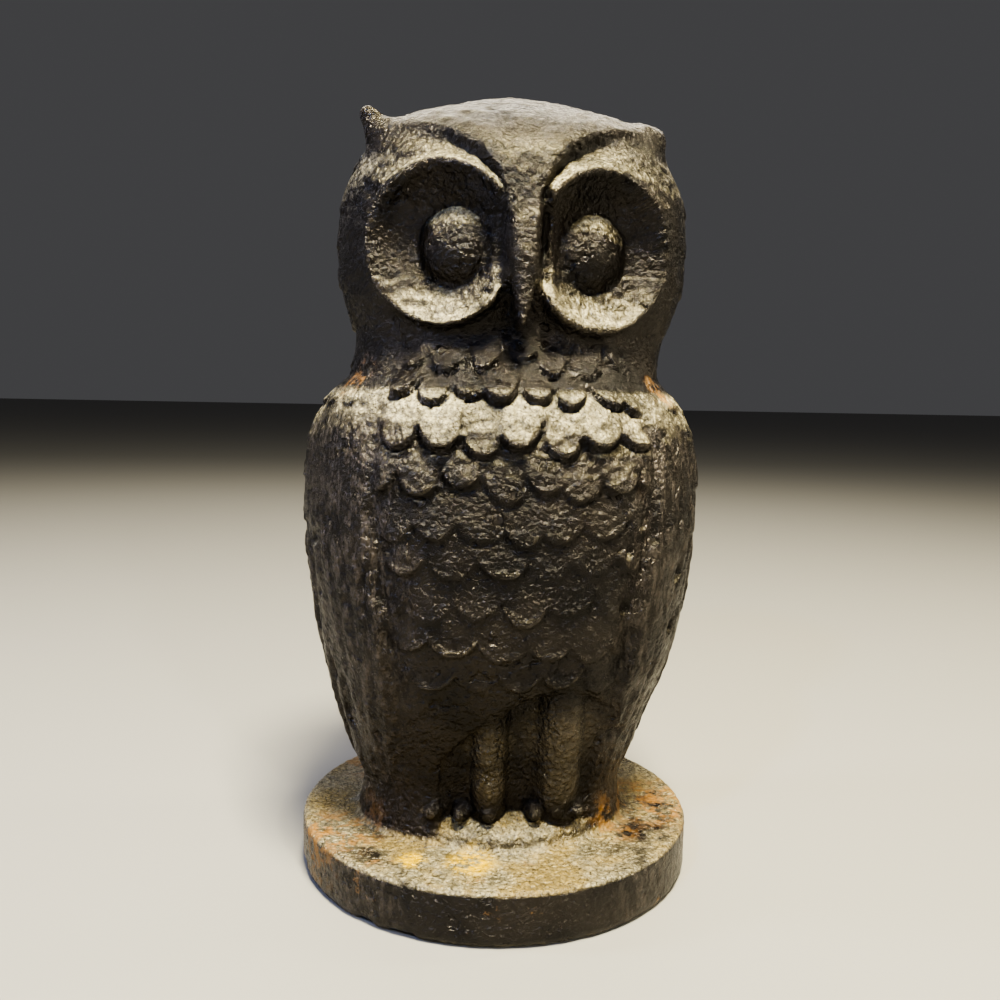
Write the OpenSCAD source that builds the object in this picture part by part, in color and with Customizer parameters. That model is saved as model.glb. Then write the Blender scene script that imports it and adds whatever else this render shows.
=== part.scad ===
// Book end: a standing owl on a round base, cast hollow in iron as a front and a back half.
// The halves meet on the plane y = 0 and two slotted screws pull them together from behind.
// +Z is up, the owl faces -Y, and the origin is the middle of the underside.

/* [Overall] */
// Height from the table to the crown of the head
owl_h = 127; // [100:1:160]
// Diameter of the round base
base_d = 66; // [56:1:84]
// Height of the base disc's top face above the table
base_h = 8.5; // [6:0.5:14]
// Greatest width of the figure, across the wings
body_w = 63; // [50:0.5:80]
// How far the breast stands in front of the seam
breast_d = 28; // [22:0.5:36]
// How far the back stands behind the seam
back_d = 27.5; // [22:0.5:36]

/* [Casting] */
// Thickness of the iron around the hollow
wall = 6; // [4:0.5:8]
// Rounding of the base disc's top edge
rim_round = 1.2; // [0.4:0.1:2.5]
// Diameter of the bosses that the screws pass through
boss_d = 11; // [9:0.5:14]
// Diameter of the pegs that line up the halves
peg_d = 3.2; // [2:0.2:4.2]
// Length of the pegs
peg_len = 3; // [2:0.5:5]
// Distance of each peg from the middle of the base
peg_x = 23; // [16:0.5:25]
// Room around a peg in its socket
peg_room = 0.2; // [0.1:0.05:0.4]

/* [Face] */
// Diameter of each hollow eye disc
disc_d = 22.4; // [16:0.2:25]
// Width of the raised rim round each disc
disc_rim = 1.1; // [0.5:0.1:2]
// Distance from the middle of the face to each disc's centre
disc_x = 12.9; // [10:0.1:15]
// Height of the discs' centres, as a share of the figure above its base
disc_at = 0.781; // [0.74:0.005:0.82]
// Angle by which each disc looks outwards
disc_turn = 25; // [10:1:35]
// Depth of the hollow in each disc
disc_deep = 4; // [1.5:0.1:4.5]
// Diameter of each eye
eye_d = 12; // [6:0.2:13]
// How far each domed eye stands out of its hollow
eye_dome = 3.4; // [1:0.1:4]
// Length of the beak
beak_len = 18; // [12:0.5:22]
// How far the beak stands out of the face
beak_out = 3; // [1.5:0.1:5]
// How far the brow ridges stand out of the forehead
brow_out = 1.6; // [0.5:0.1:3]

/* [Screws and felt] */
// Diameter of the screws' threaded shanks
screw_d = 4; // [3:0.5:5]
// Diameter of the screw heads
head_d = 7.4; // [6:0.2:9]
// Height of the screw heads
head_h = 2.6; // [2:0.1:3.5]
// Room between a shank and its clearance hole, on the radius
screw_room = 0.3; // [0.2:0.05:0.5]
// How deep each screw reaches into the front half
screw_bite = 12; // [8:0.5:14]
// Height of the lower screw, as a share of the figure above its base
lower_at = 0.28; // [0.22:0.01:0.38]
// Height of the upper screw, as a share of the figure above its base
upper_at = 0.76; // [0.7:0.01:0.82]
// How far each screw head is sunk below the surface of the back
head_sunk = 1.2; // [0.5:0.1:2.5]
// Thickness of the felt pad
felt_t = 1.2; // [0.8:0.1:3]
// How far the felt stands below the iron rim that surrounds it
felt_proud = 0.3; // [0.1:0.1:0.6]
// Width of that rim
felt_inset = 1.5; // [1:0.5:4]
// Room between the felt's edge and the rim
felt_room = 0.2; // [0.1:0.1:0.5]

/* [Hidden] */
IRON = "#2b2622";
STEEL = "#4a4642";
FELT = "#23362b";
$fn = 96;

figure_h = owl_h - base_h;  // the owl alone, from the disc's top face to the crown
sink = 1;                   // how far the figure's foot runs down into the disc
seat_h = figure_h + sink;
squareness = 2.3;           // 2 is an ellipse, and more is a fuller, squarer section
head_shift = 0.9;           // the head sits a little to the owl's left
disc_r = disc_d / 2;
eye_r = eye_d / 2;
felt_r = base_d / 2 - felt_inset;
tap_room = 0.05;            // the tapped hole is drawn as a plain bore this much wider than the shank

// Sections from the foot to the crown: share of the height, then the half-width, the front reach
// and the back reach, each as a share of its greatest.
SECTIONS = [
    [0, 0.74, 0.7, 0.83],
    [0.05, 0.715, 0.63, 0.8],
    [0.09, 0.735, 0.65, 0.81],
    [0.14, 0.79, 0.72, 0.85],
    [0.2, 0.865, 0.83, 0.9],
    [0.28, 0.935, 0.93, 0.95],
    [0.38, 0.985, 0.99, 0.99],
    [0.47, 1, 1, 1],
    [0.54, 0.975, 0.965, 0.985],
    [0.585, 0.9, 0.9, 0.95],
    [0.62, 0.8, 0.84, 0.91],
    [0.655, 0.785, 0.79, 0.89],
    [0.69, 0.81, 0.8, 0.885],
    [0.73, 0.862, 0.83, 0.89],
    [0.775, 0.885, 0.845, 0.89],
    [0.82, 0.885, 0.84, 0.88],
    [0.865, 0.855, 0.81, 0.85],
    [0.91, 0.785, 0.735, 0.79],
    [0.945, 0.69, 0.61, 0.7],
    [0.97, 0.56, 0.46, 0.57],
    [0.988, 0.36, 0.27, 0.37],
    [0.997, 0.17, 0.13, 0.17]
];

function step_up(from, to, t) =
    let (s = min(1, max(0, (t - from) / (to - from)))) s * s * (3 - 2 * s);

// A smooth curve through the sections: k counts sections, so 2.5 is half way between the third
// and the fourth.
function section(k) =
    let (
        last = len(SECTIONS) - 1,
        i = min(last - 1, floor(k)),
        u = k - i,
        a = SECTIONS[max(0, i - 1)],
        b = SECTIONS[i],
        c = SECTIONS[i + 1],
        d = SECTIONS[min(last, i + 2)]
    )
    b + u / 2 * (c - a) + u * u / 2 * (2 * a - 5 * b + 4 * c - d)
        + u * u * u / 2 * (3 * b - a - 3 * c + d);

// The section's number at a share of the height, by halving.
function find_section(share, low = 0, high = len(SECTIONS) - 1, tries = 24) =
    tries == 0 ? (low + high) / 2
    : let (middle = (low + high) / 2)
        section(middle)[0] < share ? find_section(share, middle, high, tries - 1)
        : find_section(share, low, middle, tries - 1);

function height_at(share) = base_h + share * figure_h;
function back_at(share) = section(find_section(share))[3] * back_d;
function front_at(share) = section(find_section(share))[2] * breast_d;
function shift_at(z) = head_shift * step_up(height_at(0.55), height_at(0.7), z);

// The brow's lower edge climbs steeply from the beak, then runs out to the ear tufts.
function brow_z(x) =
    let (out = abs(x - head_shift))
    height_at(0.806) + 10.5 * (1 - exp(-out / 2.2)) + 0.22 * out;
function brow_relief(p) =
    let (above = p.z - brow_z(p.x))
    brow_out * step_up(-0.8, 0.8, above) * (1 - step_up(2, 10, above));

// The folded wings stand a little proud of the breast.
function wing_relief(p) =
    let (
        share = (p.z - base_h) / figure_h,
        edge = body_w / 2 * (0.8 - 0.25 * step_up(0.45, 0.1, share))
    )
    1.1 * step_up(edge - 1, edge + 1, abs(p.x))
        * step_up(0.1, 0.2, share) * (1 - step_up(0.52, 0.6, share));

function relief(p) =
    p.y >= 0 ? 0
    : step_up(0, 5, -p.y) * (brow_relief(p) + wing_relief(p));

// One point of the skin: k is the section, a the angle round it, side -1 in front and 1 behind.
function skin(k, a, side, inset) =
    let (
        s = section(k),
        depth = (side < 0 ? s[2] * breast_d : s[3] * back_d) - inset,
        width = s[1] * body_w / 2 - inset,
        z = height_at(s[0]),
        x = sign(cos(a)) * pow(abs(cos(a)), 2 / squareness) * width,
        y = side * pow(abs(sin(a)), 2 / squareness) * depth
    )
    [x + shift_at(z), y, z];

function sculpted(p) =
    let (flat = [p.x - shift_at(p.z), p.y], out = relief(p) / max(norm(flat), 1))
    [p.x + flat.x * out, p.y + flat.y * out, p.z];

// Half of the figure, solid, with its flat face on the seam.
module half_figure(side, inset, first, last, per_section, sides, bottom, top) {
    rings = (last - first) * per_section;
    points = [
        for (i = [0:rings], j = [0:sides])
            let (
                p = skin(first + i / per_section, 180 * j / sides, side, inset),
                z = i == 0 ? bottom : p.z
            )
            inset > 0 ? [p.x, p.y, z] : sculpted([p.x, p.y, z])
    ];
    row = sides + 1;
    peak = len(points);
    faces = concat(
        [for (i = [0:rings - 1], j = [0:sides - 1])
            [i * row + j, i * row + j + 1, (i + 1) * row + j + 1]],
        [for (i = [0:rings - 1], j = [0:sides - 1])
            [i * row + j, (i + 1) * row + j + 1, (i + 1) * row + j]],
        [for (i = [0:rings - 1])
            [i * row, (i + 1) * row, (i + 1) * row + sides, i * row + sides]],
        [for (j = [0:sides - 1]) [rings * row + j, rings * row + j + 1, peak]],
        [[rings * row + sides, rings * row, peak]],
        [[for (j = [0:sides]) sides - j]]
    );
    polyhedron(
        concat(points, [[shift_at(top), 0, top]]),
        side < 0 ? faces : [for (f = faces) [for (i = [len(f) - 1:-1:0]) f[i]]]
    );
}

// Half of the base disc, with a rounded top edge and a shallow recess below for the felt.
module half_base(side) {
    round_at = [base_d / 2 - rim_round, base_h - rim_round];
    recess_r = felt_r + felt_room;
    foot_round = 0.4;
    rotate([0, 0, side > 0 ? 0 : 180])
        rotate_extrude(angle = 180)
            polygon(concat(
                [[0, felt_t], [recess_r, felt_t], [recess_r, felt_proud]],
                [[base_d / 2 - foot_round, felt_proud], [base_d / 2, felt_proud + foot_round]],
                [for (a = [0:15:90]) round_at + rim_round * [cos(a), sin(a)]],
                [[0, base_h]]
            ));
}

// The hollow that the core leaves: it follows the skin from the feet to just under the crown.
module hollow(side) {
    half_figure(side, wall, 1, len(SECTIONS) - 4, 1, 16, base_h + wall / 2, owl_h - 0.8 * wall);
}

// A cylinder along Y that starts at y = from and ends at y = to.
module along_y(x, z, from, to, d) {
    translate([x, min(from, to), z])
        rotate([-90, 0, 0])
            cylinder(d = d, h = abs(to - from));
}

// Puts its children on the centre of an eye disc, with +Z looking out along the disc's axis.
module on_disc(side) {
    translate([head_shift + side * disc_x, -0.75 * breast_d, height_at(disc_at)])
        rotate([90, 0, side * disc_turn])
            children();
}

// The disc's solid ground and rim, which merge with the head.
module disc_ground(side) {
    edge = disc_r + disc_rim;
    on_disc(side)
        rotate_extrude()
            polygon([
                [0, -8], [edge - 1, -8], [edge + 0.4, -1.5], [edge, -0.4],
                [edge - disc_rim * 0.4, 0], [0, 0]
            ]);
}

// The shallow bowl, a slice of the sphere that is disc_deep deep and disc_d across.
module disc_bowl(side) {
    bowl_r = (pow(disc_r, 2) + pow(disc_deep, 2)) / (2 * disc_deep);
    on_disc(side)
        translate([0, 0, bowl_r - disc_deep])
            sphere(r = bowl_r);
}

// The domed eye, a slice of a smaller sphere that stands on the bowl's floor.
module eye(side) {
    dome_r = (pow(eye_r, 2) + pow(eye_dome, 2)) / (2 * eye_dome);
    on_disc(side)
        intersection() {
            translate([0, 0, eye_dome - disc_deep - dome_r])
                sphere(r = dome_r);
            translate([0, 0, -disc_deep - 2])
                cylinder(r = eye_r, h = disc_deep + 4);
        }
}

module beak() {
    ridge_y = -0.86 * breast_d;
    tip_z = height_at(disc_at) - disc_r + 0.6;
    hull() {
        translate([head_shift, ridge_y + 1, tip_z + beak_len]) sphere(d = 2.6, $fn = 12);
        translate([head_shift, ridge_y - beak_out + 1.8, tip_z + 5]) sphere(d = 4, $fn = 16);
        translate([head_shift, ridge_y - beak_out + 1.2, tip_z]) sphere(d = 1.8, $fn = 12);
        translate([head_shift, ridge_y + 4, tip_z + 3]) sphere(d = 5, $fn = 12);
    }
}

module toes() {
    for (foot = [-7.2, 8.2], toe = [-4.4, 0, 4.4])
        translate([foot + toe, -0.63 * breast_d, base_h + 4.4])
            sphere(d = 4.6);
}

module ear_tuft(root, tip, root_d, tip_d) {
    hull() {
        translate(root) sphere(d = root_d, $fn = 20);
        translate(tip) sphere(d = tip_d, $fn = 16);
    }
}

module front_shell() {
    difference() {
        union() {
            half_figure(-1, 0, 0, len(SECTIONS) - 1, 3, 36, base_h - sink, owl_h);
            for (side = [-1, 1]) disc_ground(side);
        }
        hollow(-1);
    }
}

module front_casting() {
    color(IRON)
    difference() {
        union() {
            difference() {
                front_shell();
                for (side = [-1, 1]) disc_bowl(side);
            }
            for (side = [-1, 1]) eye(side);
            beak();
            half_base(-1);
            toes();
            ear_tuft([head_shift - 0.28 * body_w, -9, height_at(0.92)],
                [head_shift - 0.345 * body_w, -9.5, height_at(0.962)], 9, 3.4);
            ear_tuft([head_shift + 0.28 * body_w, -9, height_at(0.92)],
                [head_shift + 0.325 * body_w, -9.5, height_at(0.945)], 9, 5);
            for (share = [lower_at, upper_at])
                along_y(0, height_at(share), 0, -(front_at(share) - wall * 0.7), boss_d);
        }
        for (share = [lower_at, upper_at])
            along_y(0, height_at(share), 1, -screw_bite - 1, screw_d + 2 * tap_room);
        for (side = [-1, 1])
            along_y(side * peg_x, (base_h + felt_t) / 2, 1, -peg_len - peg_room,
                peg_d + 2 * peg_room);
    }
}

function seat_y(share) = back_at(share) - head_sunk - head_h;

module back_casting() {
    color(IRON)
    difference() {
        union() {
            difference() {
                half_figure(1, 0, 0, len(SECTIONS) - 1, 3, 28, base_h - sink, owl_h);
                hollow(1);
            }
            half_base(1);
            for (share = [lower_at, upper_at])
                along_y(0, height_at(share), 0, back_at(share) - wall * 0.7, boss_d);
            for (side = [-1, 1])
                along_y(side * peg_x, (base_h + felt_t) / 2, 1, -peg_len, peg_d);
        }
        for (share = [lower_at, upper_at]) {
            along_y(0, height_at(share), -1, back_d + 1, screw_d + 2 * screw_room);
            along_y(0, height_at(share), seat_y(share), back_d + 2, head_d + 2 * screw_room);
        }
    }
}

// A slotted round-head screw whose head seats at y = seat and whose tip is in the front half.
module screw(share) {
    slot_w = 1.1;
    slot_deep = 1.2;
    color(STEEL)
    translate([0, seat_y(share), height_at(share)])
        rotate([-90, 0, 0])
            difference() {
                union() {
                    rotate_extrude()
                        polygon([
                            [0, 0], [head_d / 2, 0], [head_d / 2, head_h * 0.45],
                            [head_d * 0.42, head_h * 0.75], [head_d * 0.25, head_h * 0.95],
                            [0, head_h]
                        ]);
                    translate([0, 0, -seat_y(share) - screw_bite])
                        cylinder(d = screw_d, h = seat_y(share) + screw_bite);
                }
                translate([-head_d, -slot_w / 2, head_h - slot_deep])
                    cube([2 * head_d, slot_w, slot_deep + 1]);
            }
}

module upper_screw() {
    screw(upper_at);
}

module lower_screw() {
    screw(lower_at);
}

module felt_pad() {
    color(FELT)
        cylinder(r = felt_r, h = felt_t);
}

front_casting();
back_casting();
upper_screw();
lower_screw();
felt_pad();
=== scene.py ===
"""Looks of the owl book end: two cast-iron halves, two slotted screws and a felt pad."""
import math

import bpy
import numpy as np
from mathutils import Matrix, Vector


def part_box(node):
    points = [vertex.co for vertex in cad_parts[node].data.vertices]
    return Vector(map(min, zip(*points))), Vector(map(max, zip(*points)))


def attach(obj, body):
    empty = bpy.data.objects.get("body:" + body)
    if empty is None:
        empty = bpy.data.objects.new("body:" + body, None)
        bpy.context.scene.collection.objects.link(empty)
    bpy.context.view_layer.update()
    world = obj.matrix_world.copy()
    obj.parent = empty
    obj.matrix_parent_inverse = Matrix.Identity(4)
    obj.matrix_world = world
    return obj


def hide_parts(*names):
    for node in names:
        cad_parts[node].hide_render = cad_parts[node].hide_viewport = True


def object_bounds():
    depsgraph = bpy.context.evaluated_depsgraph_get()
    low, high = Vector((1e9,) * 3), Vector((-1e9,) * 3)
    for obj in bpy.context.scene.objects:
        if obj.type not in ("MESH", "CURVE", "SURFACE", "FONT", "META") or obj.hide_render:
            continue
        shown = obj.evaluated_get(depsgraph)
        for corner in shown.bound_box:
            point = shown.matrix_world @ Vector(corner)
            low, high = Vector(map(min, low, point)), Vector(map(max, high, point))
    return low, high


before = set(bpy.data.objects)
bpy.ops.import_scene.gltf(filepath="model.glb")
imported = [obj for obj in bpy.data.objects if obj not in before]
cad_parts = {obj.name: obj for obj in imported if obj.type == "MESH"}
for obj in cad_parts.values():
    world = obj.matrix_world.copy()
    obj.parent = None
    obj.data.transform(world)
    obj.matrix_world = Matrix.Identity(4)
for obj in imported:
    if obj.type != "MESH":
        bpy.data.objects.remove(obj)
cad_lo, cad_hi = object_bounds()

# ---------------------------------------------------------------- camera
# A phone-like view from close in front of the breast, a little to the owl's right and tilted.

view_turn, view_down, view_roll = (math.radians(a) for a in (-5, 6.5, 1.1))
view_back, view_up = 4.931, 2.424  # in base radii
lens_mm, film_mm = 34.56, 36
base_radius = cad_hi.x
stand = Vector((0, -view_back * base_radius, view_up * base_radius))
turn = Matrix.Rotation(view_turn, 4, "Z")
camera = bpy.data.objects.new("camera", bpy.data.cameras.new("camera"))
camera.data.lens, camera.data.sensor_width = lens_mm, film_mm
camera.matrix_world = (
    Matrix.Translation(turn @ stand) @ turn
    @ Matrix.Rotation(math.pi / 2 - view_down, 4, "X")
    @ Matrix.Rotation(view_roll, 4, "Z")
)
camera.data.clip_start, camera.data.clip_end = 0.005, 20
bpy.context.collection.objects.link(camera)
bpy.context.scene.camera = camera

# ---------------------------------------------------------------- front casting
# The front half of a hollow owl in sand-cast iron, painted black long ago and worn since. The
# pattern was carved as one figure and split at its sides, so one form gives both halves. It is
# worked out in millimetres, as a field that is negative inside the iron.

MM = 0.001
owl_h = cad_hi.z / MM
base_r = base_radius / MM
rim_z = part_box("front_casting")[0][2] / MM
felt_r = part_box("felt_pad")[1][0] / MM
felt_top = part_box("felt_pad")[1][2] / MM
base_h = 8.5
figure_h = owl_h - base_h
half_w, front_d, back_d = 31.5, 28.0, 27.5
middle_x = 0.7  # the beak stands this far to the owl's left

# Share of the figure's height, then half-width, front reach and back reach as shares.
SECTIONS = np.array([
    (0.00, 0.725, 0.66, 0.82), (0.05, 0.70, 0.63, 0.80), (0.09, 0.72, 0.65, 0.81),
    (0.14, 0.775, 0.72, 0.85), (0.20, 0.855, 0.83, 0.90), (0.28, 0.93, 0.93, 0.95),
    (0.38, 0.985, 0.99, 0.99), (0.47, 1.00, 1.00, 1.00), (0.54, 0.975, 0.965, 0.985),
    (0.585, 0.90, 0.90, 0.95), (0.62, 0.80, 0.81, 0.91), (0.655, 0.785, 0.725, 0.89),
    (0.69, 0.81, 0.745, 0.885), (0.73, 0.862, 0.815, 0.89), (0.775, 0.885, 0.86, 0.89),
    (0.82, 0.885, 0.86, 0.88), (0.865, 0.855, 0.815, 0.85), (0.91, 0.775, 0.715, 0.79),
    (0.945, 0.65, 0.57, 0.69), (0.97, 0.46, 0.37, 0.52), (0.986, 0.29, 0.21, 0.33),
    (1.00, 0.02, 0.02, 0.02),
])


def ease(t, start, end):
    s = np.clip((t - start) / (end - start), 0, 1)
    return s * s * (3 - 2 * s)


def bell(t, reach):
    return np.exp(-((t / reach) ** 2))


def soft_min(a, b, k):
    h = np.clip(0.5 + 0.5 * (b - a) / k, 0, 1)
    return b + (a - b) * h - k * h * (1 - h)


def soft_max(a, b, k):
    return -soft_min(-a, -b, k)


def smooth_sections(steps=24):
    """The sections joined by one smooth curve, as columns of z and the three reaches."""
    rows = []
    last = len(SECTIONS) - 1
    for i in range(last):
        a, b, c, d = (SECTIONS[min(max(j, 0), last)] for j in (i - 1, i, i + 1, i + 2))
        for u in np.arange(steps) / steps:
            rows.append(b + u / 2 * (c - a) + u * u / 2 * (2 * a - 5 * b + 4 * c - d)
                        + u ** 3 / 2 * (3 * b - a - 3 * c + d))
    rows.append(SECTIONS[-1])
    return np.array(rows).T * np.array([[figure_h], [half_w], [front_d], [back_d]]) \
        + np.array([[base_h], [0], [0], [0]])


section_z, section_w, section_f, section_b = smooth_sections()


def shift_at(z):
    """How far the figure's own axis stands aside at a height, as it leans a little."""
    return 1.1 * ease(z, 80, 92) - 0.7 * ease(z, 40, 25)


squareness = 2.3  # 2 is an ellipse, and more is nearer a square


def trunk(x, y, z):
    """The plain body and head: squarish ovals stacked from the feet to the crown."""
    w = np.interp(z, section_z, section_w)
    d = np.where(y < 0, np.interp(z, section_z, section_f), np.interp(z, section_z, section_b))
    dx = x - shift_at(z)
    oval = ((np.abs(dx) / w) ** squareness + (np.abs(y) / d) ** squareness) ** (1 / squareness)
    radius = np.hypot(dx, y)
    return np.maximum(radius * (1 - 1 / np.maximum(oval, 1e-6)), z - owl_h)


def rod(x, y, z, a, b, ra, rb):
    """A round rod from a to b that tapers from radius ra to rb."""
    a, b = np.array(a, float), np.array(b, float)
    d = b - a
    h = np.clip(((x - a[0]) * d[0] + (y - a[1]) * d[1] + (z - a[2]) * d[2]) / (d @ d), 0, 1)
    gap = np.sqrt((x - a[0] - h * d[0]) ** 2 + (y - a[1] - h * d[1]) ** 2
                  + (z - a[2] - h * d[2]) ** 2)
    return gap - ra - (rb - ra) * h


# The brow's edge: how far out from the beak, and how high.
BROW_OUT = [0, 2, 3.5, 6.8, 11, 15.2, 19.6, 24]
BROW_UP = [103, 106.6, 110.6, 114.6, 117.0, 118.2, 119.2, 120.4]


def brow(f, x, y, z):
    """The forehead stands proud above the brow's edge, with a groove under the edge."""
    out = np.abs(x - middle_x)
    above = z - np.interp(out, BROW_OUT, BROW_UP)
    face = ease(-y, 2, 9)
    f = f - face * 1.1 * ease(above, -0.9, 0.9) * (1 - ease(above, 2, 11)) * ease(out, 0.5, 4)
    left = x > middle_x
    groove = np.where(left, 1.7, 1.0) * ease(out, 1.0, 3.2)
    width = np.where(left, 1.45, 1.15)
    return f + face * groove * bell(above + 1.6, width) * (1 - ease(out, 16, 21))


def ear_tufts(f, x, y, z):
    """A curled tip on the owl's right, and a blunt worn one on its left."""
    for side in (-1, 1):
        f = soft_min(f, rod(x, y, z, (middle_x + side * 14, -13, 114.5),
                            (middle_x + side * 20.2, -8.5, 118.2), 4.0, 3.1), 2.0)
    f = soft_min(f, rod(x, y, z, (-20.2, -8.2, 118.6), (-22.0, -8.8, 121.3), 2.2, 1.5), 0.8)
    return soft_min(f, rod(x, y, z, (20.0, -8.2, 119.2), (22.2, -8, 119.4), 2.5, 1.7), 1.5)


# Each eye disc: side, the disc's centre in x and z, and how far out and up the eye sits in it.
DISCS = ((-1, -10.9, 100.9, -0.7, 0.1), (1, 12.3, 100.2, 1.2, 0.6))
disc_turn = math.radians(25)
disc_y = -20.4
disc_r, rim_w, bowl_deep = 11.0, 0.6, 4.3
rim_high, disc_back = 0.3, 9
far_off = 9  # a field value that adds nothing
eye_r, eye_high = 6.6, 3.7


def eye_discs(f, x, y, z):
    """Each eye is a round disc with a rim, hollowed to a bowl, with a domed eye in it."""
    for side, disc_x, disc_z, eye_out, eye_up in DISCS:
        away = (x - disc_x) * side
        out = away * math.sin(disc_turn) - (y - disc_y) * math.cos(disc_turn)
        across = away * math.cos(disc_turn) + (y - disc_y) * math.sin(disc_turn)
        up = z - disc_z
        radius = np.hypot(across, up)
        ground = np.maximum(radius - disc_r - rim_w, np.maximum(out - rim_high, -disc_back - out))
        f = soft_min(f, ground, 1.9)
        floor = -bowl_deep * (1 - np.clip(radius / disc_r, 0, 1) ** 1.9)
        f = soft_max(f, -np.maximum(floor - out, radius - disc_r), 0.5)
        dome_r = (eye_r ** 2 + eye_high ** 2) / (2 * eye_high)
        to_eye = np.hypot(across - eye_out, up - eye_up)
        dome = np.sqrt(to_eye ** 2 + (out + bowl_deep - eye_high + dome_r) ** 2) - dome_r
        f = soft_min(f, np.where(to_eye < eye_r + 2, dome, far_off), 0.35)
    return f


def beak(f, x, y, z):
    """A broad ridge between the discs, which narrows to a hooked tip."""
    top, bend, tip = (middle_x, -19.6, 112), (middle_x, -24.2, 98.5), (middle_x - 0.2, -25.4, 89.9)
    f = soft_min(f, rod(x, y, z, top, bend, 3.4, 2.5), 2.2)
    f = soft_min(f, rod(x, y, z, bend, tip, 2.5, 0.8), 0.7)
    for side, deep in ((-1, 0.7), (1, 1.5)):
        f = f + deep * bell(x - middle_x - side * 3.1, 0.8) * ease(z, 90, 96) \
            * (1 - ease(z, 104, 111)) * (y < -12)
    return f


leg_x = 2.8  # middle of the recess
recess_half_w, recess_top, arch_x = 12.4, 34.5, 8
LEGS = ((-2.4, 2.9), (8.4, 3.9))  # place and radius
TOES = (-11.3, -6.9, -2.4, 4.9, 8.3, 11.7)


def legs(f, x, y, z):
    """Two straight legs in a recess under the belly, with three toes each."""
    aside = x - arch_x
    slant = y + 15.0 + 0.25 * (z - 12)
    arch = z - recess_top + np.where(aside > 0, 0.06, 0.04) * aside ** 2
    recess = np.maximum(slant, np.maximum(np.abs(x - leg_x) - recess_half_w, arch))
    f = np.where(y < -8, soft_max(f, -recess, 2.0), f)
    for leg, thick in LEGS:
        f = soft_min(f, rod(x, y, z, (leg, -16.6 + thick, 9), (leg, -22.9 + thick, 34),
                            thick, thick), 0.7)
    for toe in TOES:
        tip_y = -17.8 + 0.012 * toe * toe
        f = soft_min(f, rod(x, y, z, (toe, tip_y + 3, 13.9), (toe, tip_y, 13.4), 1.2, 1.3), 0.3)
    return f


def tail(f, x, y, z):
    """Behind, the tail hangs between the wing tips down to the mound."""
    ridge = soft_max(np.abs(x) - 10.2 + 0.15 * (z - 12), y - 25.6 + 0.035 * (z - 12), 3.0)
    ridge = np.maximum(ridge, np.maximum(z - 56, 9 - z))
    return np.where(y > 10, soft_min(f, ridge, 1.6), f)


def foot_disc(f, x, y, z):
    """A low mound on a round base, which has a rounded rim and a recess below for the felt."""
    mound = np.sqrt(((x - 0.5) / 20.5) ** 2 + (y / np.where(y < 0, 20.2, 24.2)) ** 2)
    mound = soft_max((mound - 1) * 18, z - 13.0 + 10 * (mound - 0.75), 1.6)
    f = soft_min(f, np.where(z < 14, mound, far_off), 0.6)
    f = np.maximum(f, base_h - 2 - z)
    radius = np.hypot(x, y)
    middle, half, rounding = (base_h + rim_z) / 2, (base_h - rim_z) / 2, 0.8
    past_r = radius - base_r + rounding
    past_z = np.abs(z - middle) - half + rounding
    disc = np.hypot(np.maximum(past_r, 0), np.maximum(past_z, 0)) \
        + np.minimum(np.maximum(past_r, past_z), 0) - rounding
    disc = np.maximum(disc, -np.maximum(radius - felt_r - 0.2, z - felt_top))
    return np.where(z < 20, soft_min(f, disc, np.where(z > base_h - 1.5, 1.3, 0.05)), f)


def form(x, y, z):
    """Every cast feature that is bigger than a feather."""
    f = trunk(x, y, z)
    f = brow(f, x, y, z)
    f = ear_tufts(f, x, y, z)
    f = eye_discs(f, x, y, z)
    f = beak(f, x, y, z)
    f = legs(f, x, y, z)
    f = tail(f, x, y, z)
    return foot_disc(f, x, y, z)


# Rays that find the surface: each row starts on a line inside the iron and looks out at one
# tilt. Columns: rows to the next station, start radius, start height, tilt, nearest, furthest.
STATIONS = [
    (4, 1.0, 3.5, -90, 0.5, 5), (1, felt_r + 0.16, 3.5, -90, 0.5, 5),
    (4, felt_r + 0.24, 3.4, -90, 0.5, 5), (18, 31.9, 2.6, -20, 0.3, 4),
    (6, 31.4, 7.0, 10, 0.3, 4), (14, 31.4, 7.0, 90, 0.3, 4), (5, 26.0, 5.0, 90, 1, 9),
    (5, 24.0, 4.0, 72, 1, 10), (8, 18.0, 7.8, 17, 0.5, 12), (232, 12.0, 11.6, 0, 0, 26),
    (120, 0.0, 100.0, 0, 14, 36), (0, 0.0, 102.0, 89.6, 14, 32),
]


def rays(first_turn, last_turn, columns):
    """Starts and directions of the rays for a stretch of turn round the axis."""
    rows = []
    for here, there in zip(STATIONS[:-1], STATIONS[1:]):
        count = here[0]
        for s in np.arange(count) / count:
            rows.append(np.array(here[1:]) * (1 - s) + np.array(there[1:]) * s)
    rows.append(np.array(STATIONS[-1][1:]))
    start_r, start_z, tilt, near, far = (np.array(rows).T)[:, :, None]
    turned = np.radians(np.linspace(first_turn, last_turn, columns))[None, :]
    tilt = np.radians(tilt)
    # Turn 0 looks along -Y, and the seam at 90 and -90 degrees is exactly on y = 0.
    ux, uy = np.sin(turned), -np.cos(turned)
    uy = np.where(np.abs(uy) < 1e-9, 0, uy)
    ones = np.ones((len(rows), columns))
    start = np.stack([start_r * ux, start_r * uy, start_z * ones])
    heading = np.stack([np.cos(tilt) * ux, np.cos(tilt) * uy, np.sin(tilt) * ones])
    return start, heading, near * ones, far * ones


coarse_steps, halvings = 26, 9


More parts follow.
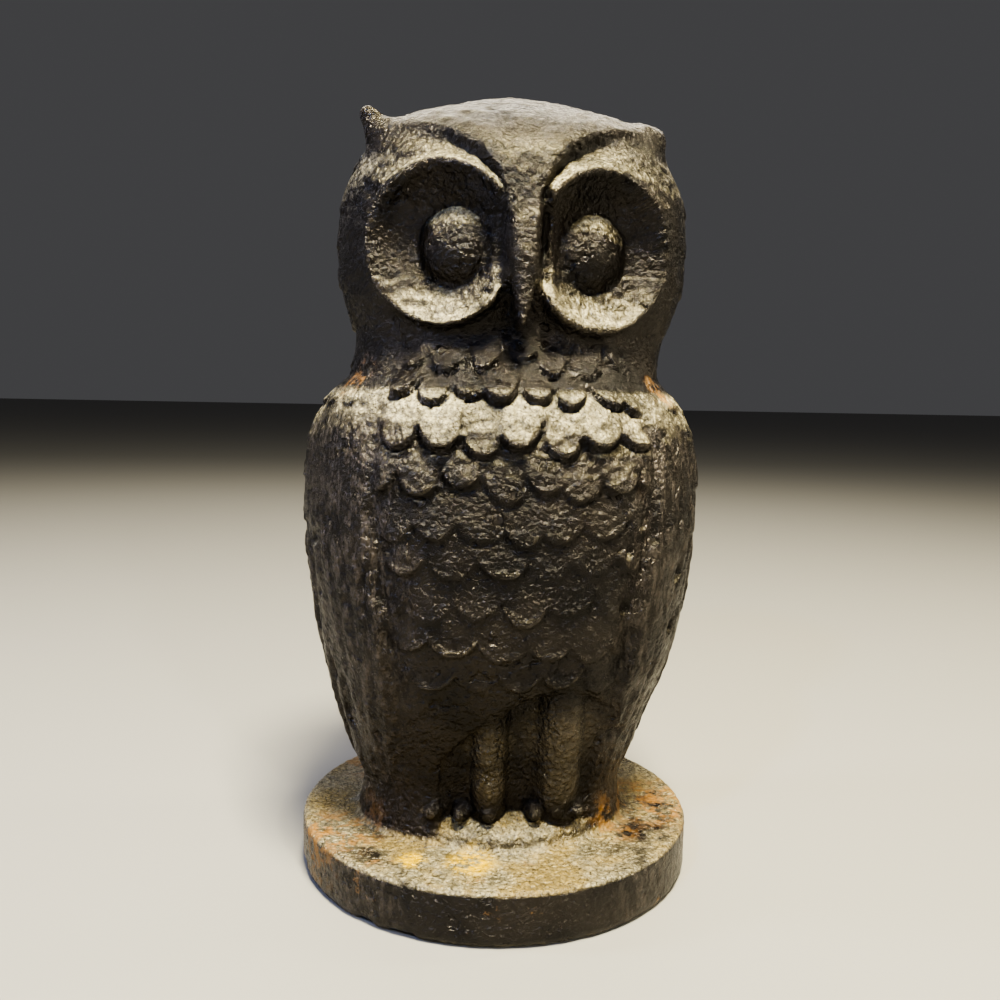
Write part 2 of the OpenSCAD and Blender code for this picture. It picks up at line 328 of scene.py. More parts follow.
def find_surface(first_turn, last_turn, columns):
    """The outermost point of the form on every ray, as a grid of rows and columns."""
    start, heading, near, far = rays(first_turn, last_turn, columns)
    hit_out, hit_in = far.copy(), near.copy()
    found = np.zeros(near.shape, bool)
    for s in np.linspace(0, 1, coarse_steps + 1)[1:]:
        t = far + (near - far) * s
        inside = form(*(start + heading * t)) < 0
        fresh = inside & ~found
        hit_in[fresh] = t[fresh]
        found |= inside
        hit_out[~found] = t[~found]
    for _ in range(halvings):
        t = (hit_in + hit_out) / 2
        inside = form(*(start + heading * t)) < 0
        hit_in = np.where(inside, t, hit_in)
        hit_out = np.where(inside, hit_out, t)
    return start + heading * (hit_in + hit_out) / 2


def grid_normals(p):
    """The way out of the iron at every point of the grid."""
    along = np.gradient(p, axis=2)
    up = np.gradient(p, axis=1)
    n = np.cross(along, up, axis=0)
    return n / np.maximum(np.linalg.norm(n, axis=0), 1e-9)


def lattice_noise(p, size, seed):
    """Smooth random values from -1 to 1 that change over about one size."""
    table = np.random.default_rng(seed).uniform(-1, 1, 4096)
    q = p / size
    cell = np.floor(q).astype(int)
    t = q - cell
    t = t * t * (3 - 2 * t)
    total = 0
    for dx in (0, 1):
        for dy in (0, 1):
            for dz in (0, 1):
                key = (cell[0] + dx) * 73856093 ^ (cell[1] + dy) * 19349663 \
                    ^ (cell[2] + dz) * 83492791
                weight = (t[0] if dx else 1 - t[0]) * (t[1] if dy else 1 - t[1]) \
                    * (t[2] if dz else 1 - t[2])
                total = total + weight * table[key & 4095]
    return total


# Breast feathers: tip height, pitch round the breast, offset, relief and raised edge at the tip.
BREAST_ROWS = [
    (82.4, 6.9, 0.6, 1.7, 0.0), (77.3, 6.2, -2.4, 1.9, 0.0), (70.9, 6.6, 0.9, 1.95, 0.0),
    (64.6, 6.4, -2.2, 1.3, 0.05), (58.4, 6.8, 1.0, 0.85, 0.15), (52.2, 7.4, -2.2, 0.6, 0.35),
    (46.2, 7.8, 1.6, 0.4, 0.5), (40.6, 8.0, -2.4, 0.35, 0.6), (35.2, 7.8, 1.4, 0.25, 0.65),
]
BACK_ROWS = [(120 - 6.2 * i, 7.0, 3.5 * (i % 2), 0.95, 0.1) for i in range(12)]


feather_long = 8.5


def scale_rows(across, z, rows, seed):
    """Rows of overlapping round-ended feathers, highest at each feather's free end."""
    shakes = np.random.default_rng(seed).uniform(-1, 1, (len(rows), 64, 3))
    height = np.zeros_like(z)
    free = np.ones(z.shape, bool)
    for i, (tip, pitch, offset, relief, edge) in enumerate(rows):
        j = np.round((across - offset) / pitch).astype(int)
        shake = shakes[i, j % 64]
        centre = offset + j * pitch + 0.7 * shake[..., 0]
        off = np.clip(np.abs(across - centre) / (pitch * 0.56), 0, 0.999)
        end = tip + 1.0 * shake[..., 1] + (1 - np.sqrt(1 - off ** 2)) * pitch * 0.62
        over = z - end
        here = free & (over > 0)
        slope = np.clip(1 - over / feather_long, 0, 1)
        crown = 1 - 0.5 * off ** 2
        value = relief * (1 + 0.3 * shake[..., 2]) * slope * crown * ease(over, 0, 0.8)
        value = value + edge * (0.6 + 0.4 * shake[..., 2]) * bell(over - 0.7, 0.6)
        height = np.where(here, value, height)
        free &= ~here
    return height


girth_r = 31  # turns an angle round the figure into millimetres


def feathers(p):
    """Feather relief over the whole figure, in millimetres."""
    x, y, z = p
    turned = np.degrees(np.arctan2(x - shift_at(z), -y))
    across = np.radians(turned) * girth_r
    side = np.abs(turned)
    body = ease(z, 13, 16)
    rough = lattice_noise(p, 3.1, 7)

    # The breast's feathers bend a little out of line, row by row.
    wave_x = across + 0.7 * lattice_noise(p, 6.5, 11)
    wave_z = z + 0.7 * lattice_noise(p, 5.5, 12)
    breast = scale_rows(wave_x, wave_z, BREAST_ROWS, 5)
    wing_edge = 43 + 2.5 * np.sin(z * 0.11) + 2.0 * rough
    on_breast = (1 - ease(side, wing_edge - 6, wing_edge - 1)) * (1 - ease(z, 86, 89.5))
    bare_legs = 1 - ease(z, 36, 32) * 0.95 * (np.abs(x - leg_x) < 13)
    relief = breast * on_breast * bare_legs

    # The wing is a shell that stands over the breast and ends low beside the tail.
    wing = ease(side, wing_edge - 2.5, wing_edge + 2.5) * ease(z, 14, 22) * (1 - ease(z, 74, 84))
    relief = relief + 0.65 * wing - 0.45 * bell(side - wing_edge + 4, 3.5) * ease(z, 26, 42) \
        * (1 - ease(z, 60, 72)) * (1 + 0.8 * rough)
    stroke = np.sin(np.radians((side - wing_edge) * 30 + 60 * rough + 260 * np.sin(z * 0.02)))
    relief = relief + 0.4 * wing * (np.abs(stroke) ** 0.7 - 0.6) * ease(rough, -0.6, 0.2) \
        * (1 - ease(z, 58, 72)) * (1 - ease(side, 62, 80))
    pits = ease(lattice_noise(p * np.array([1, 1, 0.55])[:, None, None], 2.4, 21), 0.5, 0.8)
    relief = relief - 0.9 * pits * ease(side, 24, 36) * (1 - ease(side, 75, 95)) \
        * ease(z, 22, 28) * (1 - ease(z, 56, 64))

    # Short feathers cover the back, and long ones the folded wings and the tail.
    coverts = scale_rows(across, z, BACK_ROWS, 9)
    behind = ease(side, 46, 60) * ease(z, 52, 58) * (1 - ease(z, 112, 120))
    relief = relief + coverts * behind * (0.35 + 0.65 * ease(side, 70, 100))
    vane = (side - 0.6 * (58 - z) + 2 * rough) / 11.5
    vane = vane - np.floor(vane)
    on_tail = ease(np.abs(x), 9.6 - 0.15 * (z - 12), 8.6 - 0.15 * (z - 12)) * (y > 10)
    folded = ease(side, 62, 80) * ease(z, 13, 20) * (1 - ease(z, 54, 58)) * (1 - on_tail)
    relief = relief + 0.95 * (1 - vane) * ease(vane, 0, 0.12) * folded
    quills = np.abs(np.sin(np.pi * (x + 0.4) / 4.2)) ** 0.5
    relief = relief + 0.8 * (quills - 0.7) * on_tail * (1 - ease(z, 48, 54))
    return relief * body * (1 - ease(z, 121, 124))


def skin_grid(first_turn, last_turn, columns):
    """The found surface, raised and sunk by feathers, sand grains, chips and the seam."""
    p = find_surface(first_turn, last_turn, columns)
    n = grid_normals(p)
    x, y, z = p
    figure = ease(z, 9, 12)
    sand = 0.07 * lattice_noise(p, 2.0, 1) + 0.11 * lattice_noise(p, 0.95, 2)
    sand = sand + 0.12 * (0.3 - np.abs(lattice_noise(p, 1.4, 4)))
    wander = 0.2 * lattice_noise(p, 7.5, 3)
    chipped = -0.35 * ease(lattice_noise(p, 3.6, 31), 0.2, 0.7) * bell(z - rim_z, 1.2)
    seam = -0.22 * bell(y, 0.3)
    high = feathers(p) + sand * (0.55 + 0.45 * figure) + wander * (0.3 + 0.7 * figure) + seam
    outside = (z > rim_z + 0.12) & (np.hypot(x, y) > felt_r + 0.6) | (z > felt_top + 1)
    p = p + n * (high + chipped) * outside
    p[1][:, [0, -1]] = 0
    return p


def casting(name, first_turn, last_turn, columns):
    """A closed mesh from a grid of the skin and a flat face on the seam."""
    p = skin_grid(first_turn, last_turn, columns)
    rows = p.shape[1]
    points = p.reshape(3, -1).T
    poles = np.array([[0, 0, felt_top], [0, 0, points[-1][2]]])
    verts = np.concatenate([points, poles]) * MM
    i, j = np.meshgrid(np.arange(rows - 1), np.arange(columns - 1), indexing="ij")
    a = (i * columns + j).ravel()
    quads = np.stack([a, a + 1, a + columns + 1, a + columns], 1).tolist()
    edge = np.arange(rows - 1) * columns
    seam = np.stack([edge + columns - 1, edge, edge + columns, edge + 2 * columns - 1], 1).tolist()
    bottom, top = rows * columns, rows * columns + 1
    last = (rows - 1) * columns
    fans = [(bottom, (k + 1) % columns, k) for k in range(columns)]
    fans += [(top, last + k, last + (k + 1) % columns) for k in range(columns)]
    mesh = bpy.data.meshes.new(name)
    mesh.from_pydata(verts.tolist(), [], quads + seam + fans)
    mesh.update()
    piece = bpy.data.objects.new(name, mesh)
    bpy.context.collection.objects.link(piece)
    mesh.polygons.foreach_set("use_smooth", [True] * len(mesh.polygons))
    return piece


def group(name, inputs, outputs):
    """An empty node group with named sockets, and its first and last nodes."""
    tree = bpy.data.node_groups.new(name, "ShaderNodeTree")
    for label, kind, value in inputs:
        socket = tree.interface.new_socket(label, in_out="INPUT", socket_type=kind)
        socket.default_value = value
    for label, kind in outputs:
        tree.interface.new_socket(label, in_out="OUTPUT", socket_type=kind)
    return tree, tree.nodes.new("NodeGroupInput"), tree.nodes.new("NodeGroupOutput")


def node(tree, kind, links=None, **settings):
    """Adds a node, links its named or numbered inputs, and sets the rest."""
    made = tree.nodes.new("ShaderNode" + kind)
    for key, value in settings.items():
        setattr(made, key, value)
    for key, value in (links or {}).items():
        socket = made.inputs[key]
        if isinstance(value, bpy.types.NodeSocket):
            tree.links.new(value, socket)
        else:
            socket.default_value = value
    return made


def maths(tree, operation, a, b=0.5, clamp=False):
    """One sum of two values, held between 0 and 1 if it is clamped."""
    return node(tree, "Math", {0: a, 1: b}, operation=operation, use_clamp=clamp).outputs[0]


def ramp(tree, value, low, high):
    """0 below low, 1 above high, smooth between."""
    made = node(tree, "MapRange", {"Value": value, "From Min": low, "From Max": high},
                interpolation_type="SMOOTHSTEP")
    return made.outputs["Result"]


def blend(tree, factor, a, b):
    """Colour a where factor is 0, and colour b where it is 1."""
    made = node(tree, "Mix", {}, data_type="RGBA")
    for socket, value in ((made.inputs[0], factor), (made.inputs[6], a), (made.inputs[7], b)):
        if isinstance(value, bpy.types.NodeSocket):
            tree.links.new(value, socket)
        else:
            socket.default_value = value
    return made.outputs[2]


def sand_cast_group():
    """The skin that a sand mould leaves: coarse grains, fine wrinkles and a few pits."""
    tree, given, put = group("sand_cast_skin", [
        ("Grain size", "NodeSocketFloat", 0.0006), ("Pits", "NodeSocketFloat", 0.5),
    ], [(label, "NodeSocketFloat") for label in ("Height", "Hollow", "Crest")])
    place = node(tree, "TexCoord").outputs["Object"]
    scale = maths(tree, "DIVIDE", 1.0, given.outputs["Grain size"])
    warp = node(tree, "TexNoise", {"Vector": place, "Scale": 700.0, "Detail": 2.0})
    drift = node(tree, "VectorMath", {0: warp.outputs["Color"], "Scale": 0.0007},
                 operation="SCALE").outputs[0]
    moved = node(tree, "VectorMath", {0: place, 1: drift}).outputs[0]
    cells = node(tree, "TexVoronoi", {"Vector": moved, "Scale": scale, "Smoothness": 0.35},
                 feature="SMOOTH_F1")
    crease = node(tree, "TexNoise", {"Vector": moved, "Scale": maths(tree, "MULTIPLY", scale, 0.8),
                                     "Detail": 2.0}, noise_type="RIDGED_MULTIFRACTAL")
    grain = node(tree, "TexNoise", {"Vector": place, "Scale": maths(tree, "MULTIPLY", scale, 2.2),
                                    "Detail": 3.0, "Roughness": 0.65})
    pit_noise = node(tree, "TexNoise", {"Vector": place, "Scale": 330.0, "Detail": 3.0})
    pit = ramp(tree, pit_noise.outputs["Fac"], 0.62, 0.72)
    height = maths(tree, "MULTIPLY", cells.outputs["Distance"], -0.55)
    height = maths(tree, "ADD", height, maths(tree, "MULTIPLY", crease.outputs["Fac"], 0.3))
    height = maths(tree, "ADD", height, maths(tree, "MULTIPLY", grain.outputs["Fac"], 0.5))
    sunk = maths(tree, "MULTIPLY", pit, given.outputs["Pits"])
    height = maths(tree, "SUBTRACT", height, sunk)
    tree.links.new(height, put.inputs["Height"])
    hollow = maths(tree, "MAXIMUM", sunk, maths(tree, "SUBTRACT", 0.62, grain.outputs["Fac"], True))
    tree.links.new(hollow, put.inputs["Hollow"])
    crest = maths(tree, "MULTIPLY", ramp(tree, cells.outputs["Distance"], 0.62, 0.2),
                  ramp(tree, grain.outputs["Fac"], 0.36, 0.56))
    tree.links.new(crest, put.inputs["Crest"])
    return tree


def weathering_and_painted_light_group():
    """Where dust lies and a painted sheen lights up-facing surfaces, edges are rubbed, hollows take
    painted shade and rust breaks through.
    """
    tree, given, put = group("weathering_and_painted_light", [
        ("Dust and sheen", "NodeSocketFloat", 0.5), ("Rust", "NodeSocketFloat", 0.5),
    ], [(label, "NodeSocketFloat") for label in ("Dust and sheen", "Rub", "Dark", "Rust", "Patch")])
    place = node(tree, "TexCoord").outputs["Object"]
    shape = node(tree, "NewGeometry")
    up = node(tree, "SeparateXYZ", {0: shape.outputs["Normal"]}).outputs["Z"]
    height = node(tree, "SeparateXYZ", {0: place}).outputs["Z"]
    patch = node(tree, "TexNoise", {"Vector": place, "Scale": 95.0, "Detail": 5.0,
                                    "Roughness": 0.62}).outputs["Fac"]
    fine = node(tree, "TexNoise", {"Vector": place, "Scale": 2400.0, "Detail": 3.0,
                                   "Roughness": 0.7}).outputs["Fac"]
    # The dust and the painted sheen fade out on the crown.
    crown_fade = maths(tree, "MULTIPLY", ramp(tree, height, 0.109, 0.118), 0.93)
    below_crown = maths(tree, "SUBTRACT", 1.0, crown_fade)
    # Up-facing surfaces get dust and a painted sheen, the brightness that light from above gives
    # them.
    up_facing_dust_and_sheen = maths(tree, "MULTIPLY", ramp(tree, up, 0.2, 0.75), below_crown)
    # No dust or painted sheen under the chin, which leaves a painted shadow there, and none on the
    # toes.
    for middle, half, soft in ((0.0847, 0.0041, 0.0016), (0.0148, 0.0013, 0.0008)):
        gap = maths(tree, "ABSOLUTE", maths(tree, "SUBTRACT", height, middle))
        up_facing_dust_and_sheen = maths(tree, "MULTIPLY", up_facing_dust_and_sheen, ramp(tree, gap, half, half + soft))
    speckled = ramp(tree, fine, 0.25, 0.55)
    dust_and_sheen = maths(tree, "MULTIPLY", up_facing_dust_and_sheen, speckled)
    dust_and_sheen = maths(tree, "MULTIPLY", dust_and_sheen, ramp(tree, patch, 0.22, 0.55))
    tree.links.new(maths(tree, "MULTIPLY", dust_and_sheen, given.outputs["Dust and sheen"]), put.inputs["Dust and sheen"])
    bend = shape.outputs["Pointiness"]
    rubbed = maths(tree, "MULTIPLY", ramp(tree, bend, 0.53, 0.61), speckled)
    tree.links.new(maths(tree, "MULTIPLY", rubbed, below_crown), put.inputs["Rub"])
    # Painted shade: concave places of the mesh are made darker.
    tree.links.new(ramp(tree, bend, 0.5, 0.42), put.inputs["Dark"])
    low_down = maths(tree, "ADD", ramp(tree, height, 0.016, 0.006), 0.02)
    bloom = node(tree, "TexNoise", {"Vector": place, "Scale": 150.0, "Detail": 6.0,
                                    "Roughness": 0.72}).outputs["Fac"]
    rust = maths(tree, "MULTIPLY", ramp(tree, bloom, 0.58, 0.72), given.outputs["Rust"])
    rust = maths(tree, "MULTIPLY", rust, low_down)
    tree.links.new(rust, put.inputs["Rust"])
    tree.links.new(patch, put.inputs["Patch"])
    return tree


def spot(tree, place, centre, reach):
    """A soft round patch of the surface, 1 at its centre."""
    gap = node(tree, "VectorMath", {0: place, 1: centre}, operation="DISTANCE").outputs["Value"]
    return ramp(tree, gap, reach, reach * 0.25)


sand_cast_skin = sand_cast_group()
weathering_and_painted_light = weathering_and_painted_light_group()

# Places in metres, each with its reach: rust that stands out, painted light on the fronts of the
# legs, base paint that neither dust nor painted sheen covers, and what is left of an old yellow
# paint.
RUST_SPOTS = [((0.027, -0.003, 0.0085), 0.014), ((-0.027, -0.012, 0.0085), 0.011),
              ((0.019, -0.014, 0.011), 0.006), ((0.023, -0.014, 0.080), 0.0045),
              ((-0.024, -0.012, 0.082), 0.005), ((-0.02, 0.018, 0.0085), 0.013)]
LEG_LIGHT_SPOTS = [((0.0086, -0.0205, 0.026), 0.009), ((0.0086, -0.0185, 0.019), 0.006),
              ((-0.0024, -0.0200, 0.025), 0.006), ((-0.0024, -0.0185, 0.019), 0.005)]
BARE_SPOTS = [((0.027, -0.010, 0.0085), 0.024), ((-0.018, -0.017, 0.009), 0.009),
              ((0.004, 0.027, 0.0085), 0.018)]
YELLOW_SPOTS = [((-0.0055, -0.0235, 0.0085), 0.0052), ((-0.0145, -0.0222, 0.0085), 0.0032)]


def cast_iron(name, rust_spots, yellow_spots, bare_spots):
    """Old black paint on iron: painted shade near black in hollows, rubbed brown on edges, dust with
    a painted sheen on top.
    """
    material = bpy.data.materials.new(name)
    material.use_nodes = True
    tree = material.node_tree
    shader = tree.nodes["Principled BSDF"]
    skin = node(tree, "Group", node_tree=sand_cast_skin)
    skin.inputs["Grain size"].default_value = 0.00085
    skin.inputs["Pits"].default_value = 0.55
    worn = node(tree, "Group", node_tree=weathering_and_painted_light)
    worn.inputs["Dust and sheen"].default_value = 0.97
    worn.inputs["Rust"].default_value = 1.0
    place = node(tree, "TexCoord").outputs["Object"]

    paint = blend(tree, ramp(tree, worn.outputs["Patch"], 0.35, 0.65),
                  (0.011, 0.009, 0.008, 1), (0.032, 0.026, 0.021, 1))
    # Painted shade: the hollows are made near black.
    paint = blend(tree, maths(tree, "MULTIPLY", worn.outputs["Dark"], 0.75), paint,
                  (0.006, 0.005, 0.0045, 1))
    # The grain's crests take the light colours more than its creases: partly wear and dust on the
    # crests, partly painted light and shade of the fine relief.
    crest = maths(tree, "ADD", maths(tree, "MULTIPLY", skin.outputs["Crest"], 0.5), 0.5)
    rub_and_leg_light = maths(tree, "MULTIPLY", worn.outputs["Rub"], crest)
    # Painted light on the fronts of the legs, mixed in with the rubbed edges.
    for centre, reach in LEG_LIGHT_SPOTS:
        leg_light = maths(tree, "MULTIPLY", spot(tree, place, centre, reach), crest)
        rub_and_leg_light = maths(tree, "MAXIMUM", rub_and_leg_light, maths(tree, "MULTIPLY", leg_light, 0.5))
    # Rubbed edges and the painted light on the legs take a worn brown.
    paint = blend(tree, maths(tree, "MULTIPLY", rub_and_leg_light, 0.65), paint, (0.34, 0.29, 0.20, 1))
    axes = node(tree, "SeparateXYZ", {0: place}).outputs
    on_wing = maths(tree, "MULTIPLY", ramp(tree, maths(tree, "ABSOLUTE", axes["X"]), 0.012, 0.022),
                    ramp(tree, axes["Z"], 0.082, 0.070))
    along = node(tree, "Mapping", {"Vector": place, "Scale": (1.0, 1.0, 0.4)}).outputs[0]
    streak = node(tree, "TexNoise", {"Vector": along, "Scale": 900.0, "Detail": 4.0,
                                     "Roughness": 0.7}).outputs["Fac"]
    scuffed = maths(tree, "MULTIPLY", maths(tree, "MULTIPLY", on_wing, crest),
                    ramp(tree, streak, 0.44, 0.66))
    paint = blend(tree, maths(tree, "MULTIPLY", scuffed, 0.42), paint, (0.25, 0.21, 0.18, 1))
    dust_and_sheen = maths(tree, "MULTIPLY", worn.outputs["Dust and sheen"], crest)
    for centre, reach in bare_spots:
        bare = maths(tree, "MULTIPLY", spot(tree, place, centre, reach),
                     ramp(tree, worn.outputs["Patch"], 0.58, 0.42))
        dust_and_sheen = maths(tree, "MULTIPLY", dust_and_sheen, maths(tree, "SUBTRACT", 1.0, bare))
    # The colour of the dust and the painted sheen: cream on the figure, patchy on the base.
    dust_and_sheen_colour = blend(tree, ramp(tree, worn.outputs["Patch"], 0.45, 0.62),
                 (0.46, 0.40, 0.25, 1), (0.36, 0.27, 0.10, 1))
    dust_and_sheen_colour = blend(tree, ramp(tree, axes["Z"], 0.014, 0.03), dust_and_sheen_colour, (0.68, 0.60, 0.38, 1))
    paint = blend(tree, dust_and_sheen, paint, dust_and_sheen_colour)

    rust = worn.outputs["Rust"]
    blotch = node(tree, "TexNoise", {"Vector": place, "Scale": 420.0, "Detail": 5.0,
                                     "Roughness": 0.7}).outputs["Fac"]
    broken = ramp(tree, blotch, 0.44, 0.6)
    for centre, reach in rust_spots:
        rust = maths(tree, "MAXIMUM", rust, maths(
            tree, "MULTIPLY", spot(tree, place, centre, reach), maths(tree, "MULTIPLY", broken, 0.8)))
    rusty = blend(tree, blotch, (0.13, 0.050, 0.008, 1), (0.38, 0.185, 0.025, 1))
    paint = blend(tree, rust, paint, rusty)
    for centre, reach in yellow_spots:
        flaked = maths(tree, "MULTIPLY", spot(tree, place, centre, reach),
                       ramp(tree, blotch, 0.42, 0.52))
        paint = blend(tree, flaked, paint, (0.62, 0.40, 0.006, 1))
    tree.links.new(paint, shader.inputs["Base Color"])

    dull = maths(tree, "ADD", maths(tree, "MULTIPLY", dust_and_sheen, 0.15),
                 maths(tree, "MULTIPLY", skin.outputs["Hollow"], 0.35))
    dull = maths(tree, "ADD", dull, maths(tree, "MULTIPLY", rust, 0.4))
    tree.links.new(maths(tree, "ADD", dull, 0.17, True), shader.inputs["Roughness"])
    shiny = maths(tree, "SUBTRACT", 0.5, maths(tree, "MAXIMUM", rust, dust_and_sheen), True)
    tree.links.new(shiny, shader.inputs["Metallic"])
    shader.inputs["Specular IOR Level"].default_value = 0.6
    bump = node(tree, "Bump", {"Height": skin.outputs["Height"], "Strength": 1.0,
                               "Distance": 0.00065})
    tree.links.new(bump.outputs["Normal"], shader.inputs["Normal"])
    return material


front = casting("front_skin", -90, 90, 232)
front.data.materials.append(cast_iron("cast_iron_front", RUST_SPOTS, YELLOW_SPOTS, BARE_SPOTS))
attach(front, "root")
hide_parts("front_casting")

# ---------------------------------------------------------------- back casting
# The back half of the owl, cast from the same pattern: small feathers, folded wings and the
# tail. Two round counterbores are drilled into it for the heads of the screws.

back = casting("back_skin", 90, 270, 226)
back.data.materials.append(cast_iron("cast_iron_back", RUST_SPOTS, [], BARE_SPOTS))
bore_room = 0.0003  # round the screw's head
screw_head_h = 0.0026
drill_long = 0.02


def counterbore(piece, screw):
    """Drills the hole that a screw's head lies in, from the head's seat outwards."""
    low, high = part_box(screw)
    radius = (high.x - low.x) / 2 + bore_room
    seat = high.y - screw_head_h
    bpy.ops.mesh.primitive_cylinder_add(
        vertices=64, radius=radius, depth=drill_long, rotation=(math.pi / 2, 0, 0),
        location=((low.x + high.x) / 2, seat + drill_long / 2, (low.z + high.z) / 2))
    drill = bpy.context.object
    cut = piece.modifiers.new("bore", "BOOLEAN")
    cut.operation, cut.object, cut.solver = "DIFFERENCE", drill, "EXACT"
    depsgraph = bpy.context.evaluated_depsgraph_get()
    drilled = bpy.data.meshes.new_from_object(piece.evaluated_get(depsgraph))
    piece.modifiers.clear()
    piece.data = drilled
    bpy.data.objects.remove(drill)


for screw in ("lower_screw", "upper_screw"):
    counterbore(back, screw)
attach(back, "root")
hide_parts("back_casting")

# ---------------------------------------------------------------- screws
# Two slotted round-head steel screws pull the halves together from behind. They were
# blackened with the casting, and the driver has rubbed their heads bright here and there.


def blackened_steel():
    """Dark steel with rusty pits, and lighter where the black has worn off."""
    material = bpy.data.materials.new("blackened_steel")
    material.use_nodes = True
    tree = material.node_tree
    shader = tree.nodes["Principled BSDF"]
    skin = node(tree, "Group", node_tree=sand_cast_skin)
    skin.inputs["Grain size"].default_value = 0.00025
    skin.inputs["Pits"].default_value = 0.2
    worn = node(tree, "Group", node_tree=weathering_and_painted_light)
    worn.inputs["Dust and sheen"].default_value = 0.3
    worn.inputs["Rust"].default_value = 0.6
    steel = blend(tree, ramp(tree, worn.outputs["Patch"], 0.42, 0.6),
                  (0.045, 0.040, 0.036, 1), (0.21, 0.19, 0.17, 1))
    steel = blend(tree, ramp(tree, skin.outputs["Hollow"], 0.1, 0.4), steel,
                  (0.13, 0.055, 0.02, 1))
    tree.links.new(steel, shader.inputs["Base Color"])
    tree.links.new(maths(tree, "ADD", maths(tree, "MULTIPLY", skin.outputs["Hollow"], 0.6), 0.3,
                         True), shader.inputs["Roughness"])
    shader.inputs["Metallic"].default_value = 0.85
    bump = node(tree, "Bump", {"Height": skin.outputs["Height"], "Distance": 0.00003})
    tree.links.new(bump.outputs["Normal"], shader.inputs["Normal"])
    return material


steel = blackened_steel()
for screw in ("lower_screw", "upper_screw"):
    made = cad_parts[screw]
    made.data.materials.clear()
    made.data.materials.append(steel)

# ---------------------------------------------------------------- felt pad
# A disc of dark green wool felt, cut with a punch and glued into the recess of the base. It
# keeps the iron off the shelf, and its cut edge is a little fluffy.


def felt_pad(name):
    """The pad as rings of points: flat below, a soft edge, and flat on top."""
    thick = felt_top
    edge = [(s, 0.0) for s in np.linspace(0.06, 0.93, 14)]
    edge += [(0.955, 0.0), (0.975, 0.06), (0.99, 0.3), (0.995, 0.6), (0.988, 1.0)]
    edge += [(s, 1.0) for s in np.linspace(0.96, 0.1, 5)]
    turns = np.radians(np.arange(0, 360, 2.5))
    rings = np.array(edge)
    p = np.array([[felt_r * s * np.sin(turns), felt_r * s * np.cos(turns), thick * h + 0 * turns]
                  for s, h in rings]).transpose(1, 0, 2)
    edge_share = ease(np.hypot(p[0], p[1]) / felt_r, 0.93, 1.0)
    fluff = 1 + 0.0035 * lattice_noise(p, 1.1, 41) * edge_share
    p[0] *= fluff
    p[1] *= fluff
    count = len(turns)
    verts = p.reshape(3, -1).T.tolist() + [[0, 0, 0], [0, 0, thick]]
    faces = []
    for i in range(len(rings) - 1):
        for k in range(count):
            n = (k + 1) % count
            faces.append((i * count + k, i * count + n, (i + 1) * count + n, (i + 1) * count + k))
    last = (len(rings) - 1) * count
    for k in range(count):
        n = (k + 1) % count
        faces.append((len(rings) * count, n, k))
        faces.append((len(rings) * count + 1, last + k, last + n))
    mesh = bpy.data.meshes.new(name)
    mesh.from_pydata((np.array(verts) * MM).tolist(), [], faces)
    mesh.polygons.foreach_set("use_smooth", [True] * len(mesh.polygons))
    piece = bpy.data.objects.new(name, mesh)
    bpy.context.collection.objects.link(piece)
    return piece


def wool_felt():
    """Fibres matted both ways, with a few paler tufts."""
    material = bpy.data.materials.new("wool_felt")
    material.use_nodes = True
    tree = material.node_tree
    shader = tree.nodes["Principled BSDF"]
    place = node(tree, "TexCoord").outputs["Object"]
    stretched = node(tree, "Mapping", {"Vector": place, "Scale": (1.0, 0.35, 1.0),
                                       "Rotation": (0, 0, 0.7)}).outputs[0]
    crossed = node(tree, "Mapping", {"Vector": place, "Scale": (0.35, 1.0, 1.0),
                                     "Rotation": (0, 0, 0.4)}).outputs[0]
    fibres = node(tree, "TexNoise", {"Vector": stretched, "Scale": 3800.0, "Detail": 4.0,
                                     "Distortion": 0.6}).outputs["Fac"]
    matted = node(tree, "TexNoise", {"Vector": crossed, "Scale": 3200.0, "Detail": 4.0,
                                     "Distortion": 0.8}).outputs["Fac"]
    tufts = maths(tree, "MAXIMUM", fibres, matted)
    cloud = node(tree, "TexNoise", {"Vector": place, "Scale": 130.0, "Detail": 4.0}).outputs["Fac"]
    colour = blend(tree, ramp(tree, tufts, 0.42, 0.68), (0.010, 0.022, 0.014, 1),
                   (0.040, 0.085, 0.055, 1))
    colour = blend(tree, ramp(tree, cloud, 0.52, 0.75), colour, (0.075, 0.085, 0.06, 1))
    tree.links.new(colour, shader.inputs["Base Color"])
    shader.inputs["Roughness"].default_value = 0.95
    shader.inputs["Sheen Weight"].default_value = 0.5
    shader.inputs["Specular IOR Level"].default_value = 0.15
    bump = node(tree, "Bump", {"Height": tufts, "Strength": 0.8, "Distance": 0.00018})
    tree.links.new(bump.outputs["Normal"], shader.inputs["Normal"])
    return material


felt = felt_pad("felt_disc")
felt.data.materials.append(wool_felt())
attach(felt, "root")
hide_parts("felt_pad")

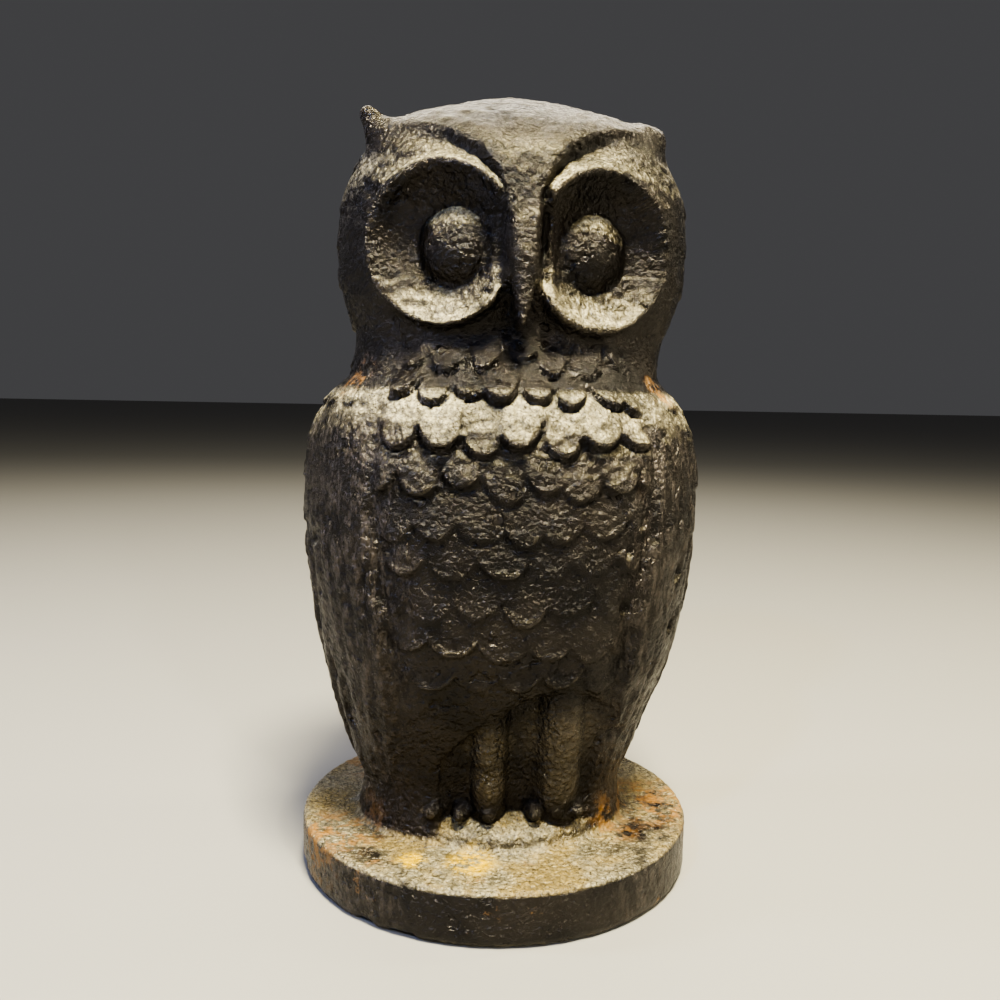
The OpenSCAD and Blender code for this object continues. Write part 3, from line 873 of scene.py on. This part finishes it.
# ---------------------------------------------------------------- stage and light
# A plain pale table under a dim grey room. The main light is a warm lamp overhead. Two small
# lamps in front and a weak one at the rear and at each side pick out edges and glints.

bpy.ops.mesh.primitive_plane_add(size=6, location=(0, 1.5, 0))
floor = bpy.context.object
floor.name = "floor"
pale = bpy.data.materials.new("pale_table")
pale.use_nodes = True
pale_shader = pale.node_tree.nodes["Principled BSDF"]
pale_shader.inputs["Base Color"].default_value = (0.29, 0.28, 0.26, 1)
pale_shader.inputs["Roughness"].default_value = 0.65
floor.data.materials.append(pale)

studio = bpy.data.worlds.new("studio")
bpy.context.scene.world = studio
studio.use_nodes = True
room_glow = studio.node_tree.nodes["Background"]
room_glow.inputs["Color"].default_value = (0.5, 0.5, 0.52, 1)
room_glow.inputs["Strength"].default_value = 0.16


def lamp(name, place, aim, size, watts, colour):
    """A soft square-edged lamp at a place in metres, turned to face its aim."""
    data = bpy.data.lights.new(name, "AREA")
    data.shape = "RECTANGLE"
    data.size, data.size_y = size
    data.energy, data.color = watts, colour
    made = bpy.data.objects.new(name, data)
    made.location = place
    made.rotation_euler = (Vector(aim) - Vector(place)).to_track_quat("-Z", "Y").to_euler()
    bpy.context.collection.objects.link(made)


lamp("overhead", (0.04, -0.19, 0.55), (0, 0, 0.07), (0.12, 0.11), 10.5, (1, 0.92, 0.66))
lamp("rear", (0.0, 0.46, 0.50), (0, 0, 0.05), (0.7, 0.25), 1.8, (1, 0.93, 0.80))
lamp("front_glint", (0.15, -0.42, 0.24), (0, 0, 0.06), (0.03, 0.03), 0.9, (1, 0.95, 0.80))
lamp("blue_glint", (-0.22, -0.36, 0.40), (0, 0, 0.09), (0.03, 0.03), 1.1, (0.26, 0.45, 1))
lamp("cool_side", (-0.42, 0.02, 0.25), (0, 0, 0.08), (0.06, 0.16), 0.9, (0.84, 0.84, 1))
lamp("warm_side", (0.42, 0.06, 0.25), (0, 0, 0.07), (0.06, 0.16), 0.7, (1, 0.90, 0.66))

bpy.context.scene.view_settings.look = "AgX - High Contrast"
